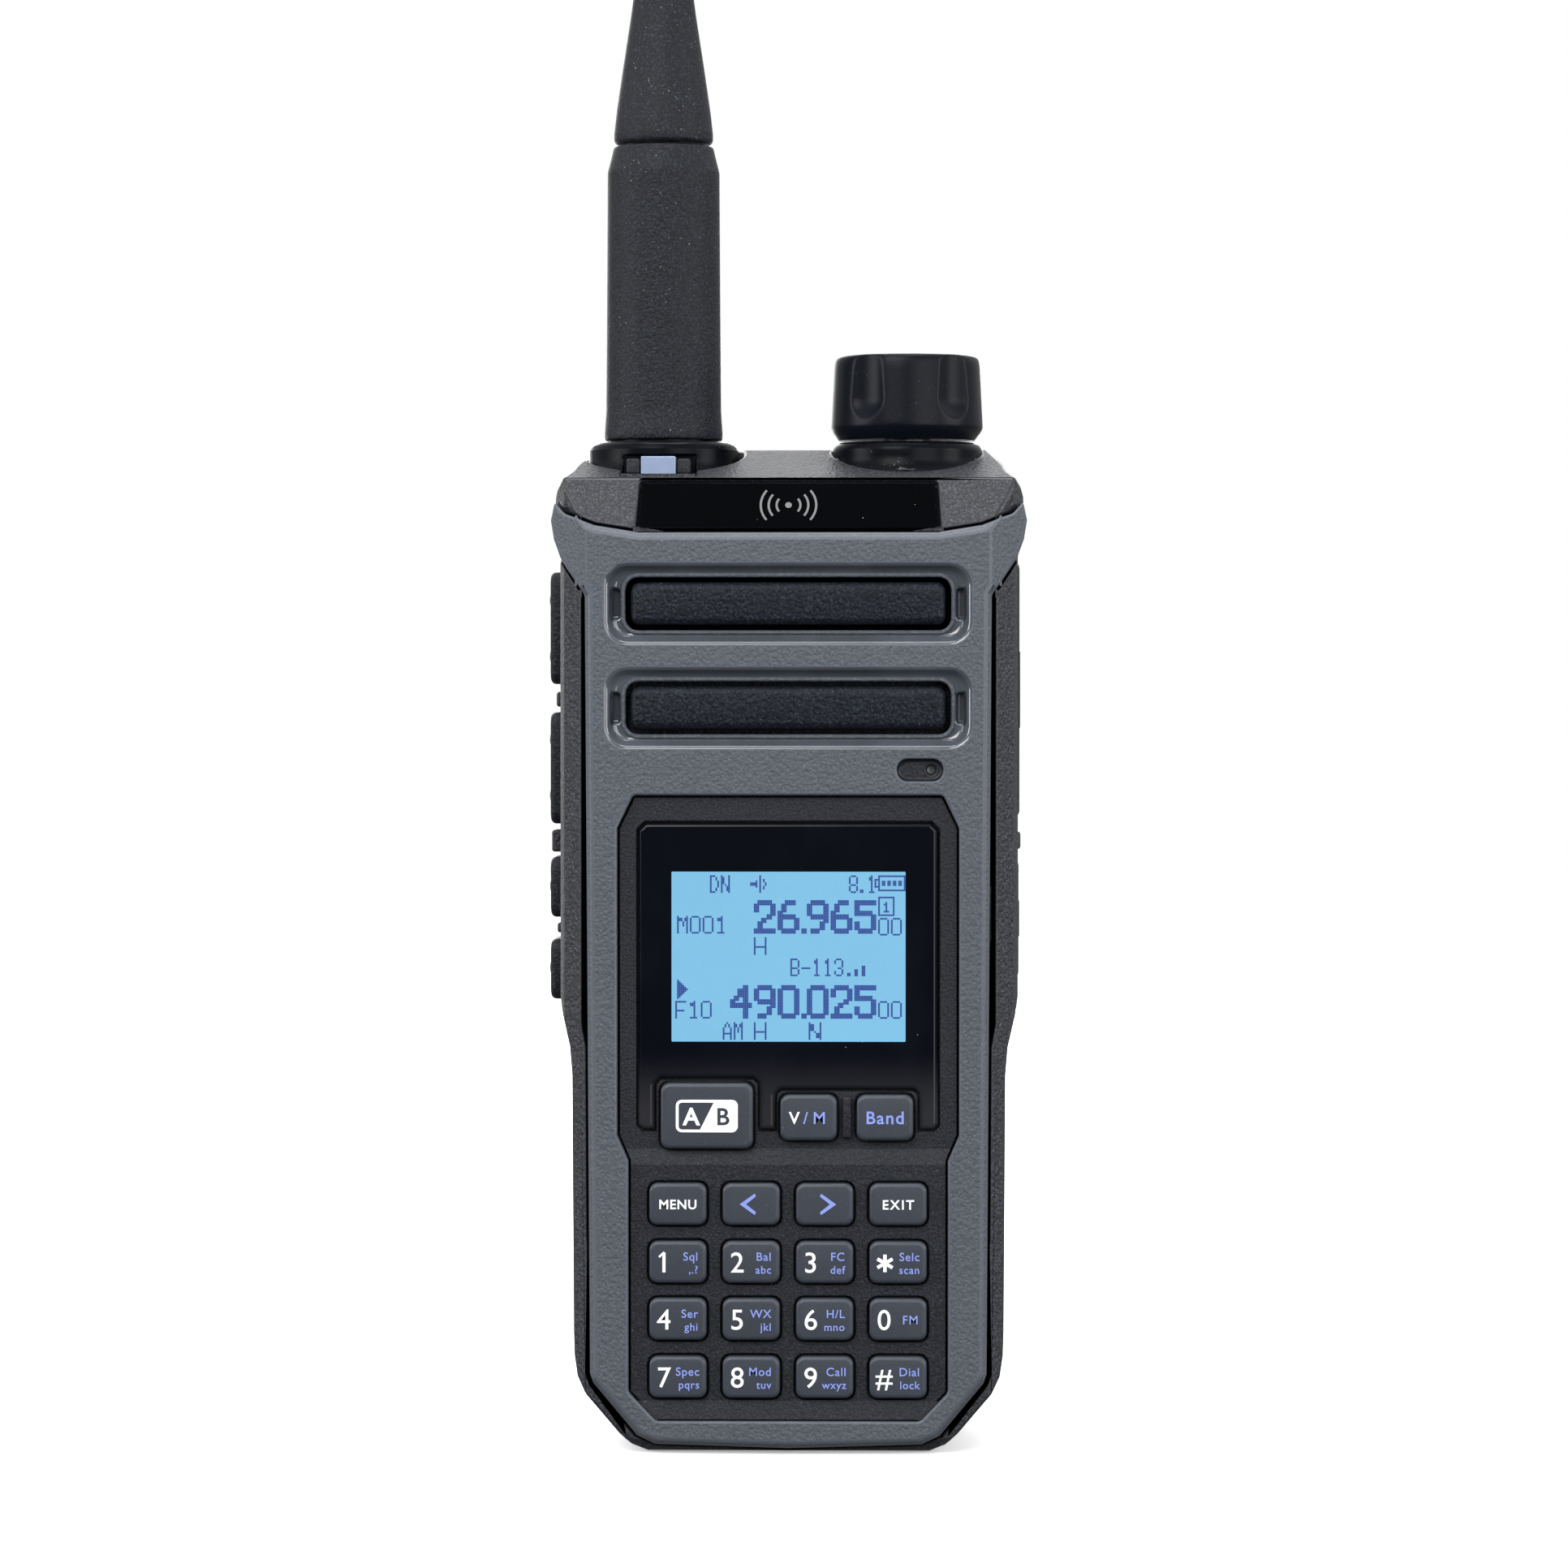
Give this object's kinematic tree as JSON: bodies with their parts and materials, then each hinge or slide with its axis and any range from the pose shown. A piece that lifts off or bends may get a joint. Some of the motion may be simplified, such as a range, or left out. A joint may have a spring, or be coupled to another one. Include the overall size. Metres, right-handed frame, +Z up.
{
  "type": "handheld radio",
  "caption": "Handheld multi-band radio with keypad, backlit display, whip antenna, volume knob, side push-to-talk buttons, removable battery pack and sprung belt clip.",
  "frame": {"origin": "middle of the flat base that the radio stands on, in line with the keypad's centre line", "axes": "+Z up towards the antenna, -Y out of the keypad, +X to the right of someone facing the keypad"},
  "size_m": [0.0611, 0.0436, 0.2878],
  "materials": {
    "grey_shell": "finely textured blue-grey ABS with glossier worn edges",
    "dark_shell": "sand-textured charcoal PC/ABS",
    "panel_black": "fine-textured black plastic",
    "gloss_black": "polished black acrylic",
    "key_rubber": "satin black key caps, printed and lacquered",
    "soft_rubber": "matt black elastomer",
    "knob_black": "satin black knob",
    "lcd_glass": "light blue backlit dot-matrix display",
    "led_window": "translucent lavender light guide",
    "board_green": "solder-masked circuit board",
    "cast_metal": "die-cast",
    "tin_plate": "tinned steel",
    "gold_plate": "gold-plated brass",
    "cell_wrap": "blue shrink film"
  },
  "bodies": {
    "radio_body": {"front_cover": "grey_shell", "main_housing": "dark_shell", "keypad_panel": "panel_black", "display_lens": "gloss_black", "lcd_module": "lcd_glass", "keypad_mat": "soft_rubber", "keypad_board": "board_green", "main_board": "board_green", "chassis_plate": "cast_metal", "shield_can": "tin_plate", "speaker": "cast_metal", "speaker_bar_upper": "dark_shell", "speaker_bar_lower": "dark_shell", "microphone": "tin_plate", "name_plate": "gloss_black", "status_led_window": "led_window", "antenna_collar": "dark_shell", "antenna_connector": "gold_plate", "volume_encoder": "tin_plate", "side_switch_board": "board_green", "accessory_jack_block": "panel_black", "usb_socket": "tin_plate"},
    "antenna": {"antenna_barrel": "tin_plate", "antenna_sleeve": "soft_rubber", "antenna_whip": "soft_rubber"},
    "volume": {"volume_knob": "knob_black", "knob_shaft": "tin_plate"},
    "ptt_upper": {"ptt_button_upper": "soft_rubber"},
    "ptt_lower": {"ptt_button_lower": "soft_rubber"},
    "side_key_top": {"side_key_upper": "soft_rubber"},
    "side_key_bottom": {"side_key_lower": "soft_rubber"},
    "accessory_flap": {"accessory_cover": "soft_rubber"},
    "port_flap": {"port_cover": "soft_rubber"},
    "battery_pack": {"battery_case": "dark_shell", "battery_lid": "panel_black", "battery_cell_lower": "cell_wrap", "battery_cell_upper": "cell_wrap", "clip_bracket": "dark_shell", "clip_pin": "tin_plate"},
    "latch": {"battery_latch": "dark_shell"},
    "clip": {"belt_clip": "dark_shell"},
    "key_ab_cap": {"key_ab": "key_rubber"},
    "key_vm_cap": {"key_vm": "key_rubber"},
    "key_band_cap": {"key_band": "key_rubber"},
    "key_menu_cap": {"key_menu": "key_rubber"},
    "key_left_cap": {"key_left": "key_rubber"},
    "key_right_cap": {"key_right": "key_rubber"},
    "key_exit_cap": {"key_exit": "key_rubber"},
    "key_1_cap": {"key_1": "key_rubber"},
    "key_2_cap": {"key_2": "key_rubber"},
    "key_3_cap": {"key_3": "key_rubber"},
    "key_star_cap": {"key_star": "key_rubber"},
    "key_4_cap": {"key_4": "key_rubber"},
    "key_5_cap": {"key_5": "key_rubber"},
    "key_6_cap": {"key_6": "key_rubber"},
    "key_0_cap": {"key_0": "key_rubber"},
    "key_7_cap": {"key_7": "key_rubber"},
    "key_8_cap": {"key_8": "key_rubber"},
    "key_9_cap": {"key_9": "key_rubber"},
    "key_hash_cap": {"key_hash": "key_rubber"}
  },
  "joints": [
    {"name": "ptt_upper_press", "type": "slide", "parent": "radio_body", "child": "ptt_upper", "axis": [1, 0, 0], "range_m": [0, 0.0008], "stiffness_N_per_m": 2500},
    {"name": "ptt_lower_press", "type": "slide", "parent": "radio_body", "child": "ptt_lower", "axis": [1, 0, 0], "range_m": [0, 0.0008], "stiffness_N_per_m": 2500},
    {"name": "side_key_top_press", "type": "slide", "parent": "radio_body", "child": "side_key_top", "axis": [1, 0, 0], "range_m": [0, 0.0008], "stiffness_N_per_m": 2500},
    {"name": "side_key_bottom_press", "type": "slide", "parent": "radio_body", "child": "side_key_bottom", "axis": [1, 0, 0], "range_m": [0, 0.0008], "stiffness_N_per_m": 2500},
    {"name": "volume_turn", "type": "hinge", "parent": "radio_body", "child": "volume", "pos_m": [0.0149, 0.001, 0.1282], "axis": [0, 0, -1], "range_deg": [0, 285]},
    {"name": "antenna_unscrew", "type": "hinge", "parent": "radio_body", "child": "antenna", "pos_m": [-0.0164, 0.001, 0.1282], "axis": [0, 0, 1], "range_deg": [0, 360]},
    {"name": "accessory_cover_open", "type": "hinge", "parent": "radio_body", "child": "accessory_flap", "pos_m": [0.0293, 0.005, 0.0962], "axis": [0, 0, 1], "range_deg": [0, 110]},
    {"name": "port_cover_open", "type": "hinge", "parent": "radio_body", "child": "port_flap", "pos_m": [0.0292, 0.005, 0.06695], "axis": [0, 0, 1], "range_deg": [0, 110]},
    {"name": "battery_tilt", "type": "hinge", "parent": "radio_body", "child": "battery_pack", "pos_m": [0, 0.0177, 0.0994], "axis": [1, 0, 0], "range_deg": [0, 25]},
    {"name": "battery_latch_slide", "type": "slide", "parent": "battery_pack", "child": "latch", "axis": [0, 0, 1], "range_m": [0, 0.002], "stiffness_N_per_m": 1200},
    {"name": "clip_squeeze", "type": "hinge", "parent": "battery_pack", "child": "clip", "pos_m": [0, 0.0219, 0.09], "axis": [1, 0, 0], "range_deg": [0, 15], "stiffness_Nm_per_rad": 0.3},
    {"name": "press_key_ab", "type": "slide", "parent": "radio_body", "child": "key_ab_cap", "axis": [0, 1, 0], "range_m": [0, 0.0008], "stiffness_N_per_m": 1200},
    {"name": "press_key_vm", "type": "slide", "parent": "radio_body", "child": "key_vm_cap", "axis": [0, 1, 0], "range_m": [0, 0.0008], "stiffness_N_per_m": 1200},
    {"name": "press_key_band", "type": "slide", "parent": "radio_body", "child": "key_band_cap", "axis": [0, 1, 0], "range_m": [0, 0.0008], "stiffness_N_per_m": 1200},
    {"name": "press_key_menu", "type": "slide", "parent": "radio_body", "child": "key_menu_cap", "axis": [0, 1, 0], "range_m": [0, 0.0008], "stiffness_N_per_m": 1200},
    {"name": "press_key_left", "type": "slide", "parent": "radio_body", "child": "key_left_cap", "axis": [0, 1, 0], "range_m": [0, 0.0008], "stiffness_N_per_m": 1200},
    {"name": "press_key_right", "type": "slide", "parent": "radio_body", "child": "key_right_cap", "axis": [0, 1, 0], "range_m": [0, 0.0008], "stiffness_N_per_m": 1200},
    {"name": "press_key_exit", "type": "slide", "parent": "radio_body", "child": "key_exit_cap", "axis": [0, 1, 0], "range_m": [0, 0.0008], "stiffness_N_per_m": 1200},
    {"name": "press_key_1", "type": "slide", "parent": "radio_body", "child": "key_1_cap", "axis": [0, 1, 0], "range_m": [0, 0.0008], "stiffness_N_per_m": 1200},
    {"name": "press_key_2", "type": "slide", "parent": "radio_body", "child": "key_2_cap", "axis": [0, 1, 0], "range_m": [0, 0.0008], "stiffness_N_per_m": 1200},
    {"name": "press_key_3", "type": "slide", "parent": "radio_body", "child": "key_3_cap", "axis": [0, 1, 0], "range_m": [0, 0.0008], "stiffness_N_per_m": 1200},
    {"name": "press_key_star", "type": "slide", "parent": "radio_body", "child": "key_star_cap", "axis": [0, 1, 0], "range_m": [0, 0.0008], "stiffness_N_per_m": 1200},
    {"name": "press_key_4", "type": "slide", "parent": "radio_body", "child": "key_4_cap", "axis": [0, 1, 0], "range_m": [0, 0.0008], "stiffness_N_per_m": 1200},
    {"name": "press_key_5", "type": "slide", "parent": "radio_body", "child": "key_5_cap", "axis": [0, 1, 0], "range_m": [0, 0.0008], "stiffness_N_per_m": 1200},
    {"name": "press_key_6", "type": "slide", "parent": "radio_body", "child": "key_6_cap", "axis": [0, 1, 0], "range_m": [0, 0.0008], "stiffness_N_per_m": 1200},
    {"name": "press_key_0", "type": "slide", "parent": "radio_body", "child": "key_0_cap", "axis": [0, 1, 0], "range_m": [0, 0.0008], "stiffness_N_per_m": 1200},
    {"name": "press_key_7", "type": "slide", "parent": "radio_body", "child": "key_7_cap", "axis": [0, 1, 0], "range_m": [0, 0.0008], "stiffness_N_per_m": 1200},
    {"name": "press_key_8", "type": "slide", "parent": "radio_body", "child": "key_8_cap", "axis": [0, 1, 0], "range_m": [0, 0.0008], "stiffness_N_per_m": 1200},
    {"name": "press_key_9", "type": "slide", "parent": "radio_body", "child": "key_9_cap", "axis": [0, 1, 0], "range_m": [0, 0.0008], "stiffness_N_per_m": 1200},
    {"name": "press_key_hash", "type": "slide", "parent": "radio_body", "child": "key_hash_cap", "axis": [0, 1, 0], "range_m": [0, 0.0008], "stiffness_N_per_m": 1200}
  ]
}
